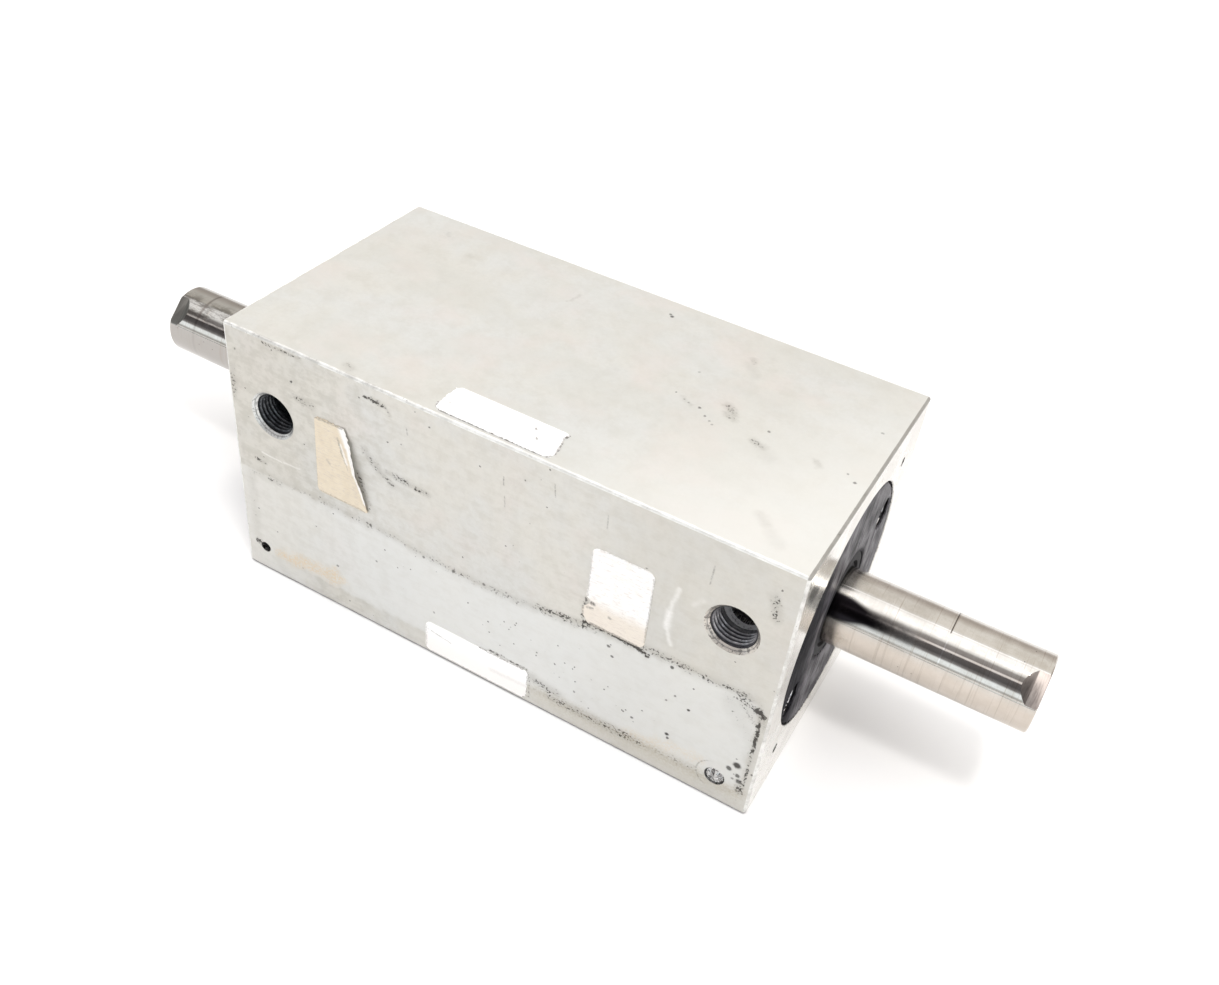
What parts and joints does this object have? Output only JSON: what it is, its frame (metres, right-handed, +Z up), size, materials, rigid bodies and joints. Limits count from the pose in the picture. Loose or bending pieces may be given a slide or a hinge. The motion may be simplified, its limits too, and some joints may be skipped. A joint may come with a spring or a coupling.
{
  "type": "double rod pneumatic actuator",
  "caption": "Square-bodied double-acting air cylinder with one rod through both ends, screwed-in end caps, side air ports and wrench flats on the rod tips.",
  "frame": {"origin": "centre of the body's bottom face, under the middle of the bore", "axes": "+X along the rod towards the right end, +Y towards the back (the ports look along -Y), +Z up"},
  "size_m": [0.208, 0.0637, 0.0636],
  "materials": {
    "body_aluminium": "clear anodised, matte, stained and scuffed from use",
    "black_anodised": "black anodised over turned rings, semi-gloss",
    "seal_rubber": "moulded nitrile, matte",
    "seal_urethane": "moulded urethane, satin",
    "bushing_bronze": "sintered bronze, satin",
    "plated_steel": "zinc plated, worn",
    "aged_paper": "aged yellow-brown paper, torn, matte",
    "label_paper": "white self-adhesive label, soiled at the edges",
    "piston_aluminium": "turned",
    "bearing_tape": "bronze-filled PTFE",
    "rod_steel": "hard chromed and ground, polished",
    "spring_steel": "phosphated spring steel"
  },
  "bodies": {
    "housing": {"body_block": "body_aluminium", "right_end_cap": "black_anodised", "right_cap_o_ring": "seal_rubber", "right_rod_wiper": "seal_rubber", "right_rod_seal": "seal_urethane", "right_rod_bushing": "bushing_bronze", "left_end_cap": "black_anodised", "left_cap_o_ring": "seal_rubber", "left_rod_wiper": "seal_rubber", "left_rod_seal": "seal_urethane", "left_rod_bushing": "bushing_bronze", "accessory_screw": "plated_steel", "torn_sticker": "aged_paper", "front_sticker": "label_paper", "bottom_label": "label_paper", "top_label": "label_paper"},
    "piston": {"piston": "piston_aluminium", "piston_bearing_tape": "bearing_tape", "piston_o_ring": "seal_rubber", "piston_seal_right": "seal_urethane", "piston_seal_left": "seal_urethane", "piston_bumper_right": "seal_rubber", "piston_bumper_left": "seal_rubber"},
    "rod": {"rod": "rod_steel", "rod_retaining_ring_right": "spring_steel", "rod_retaining_ring_left": "spring_steel"}
  },
  "joints": [
    {"name": "piston_slide", "type": "slide", "parent": "housing", "child": "piston", "axis": [1, 0, 0], "range_m": [-0.0241, 0.0267]},
    {"name": "rod_spin", "type": "hinge", "parent": "piston", "child": "rod", "pos_m": [-0.0013, 0, 0.03175], "axis": [1, 0, 0], "continuous": true}
  ]
}
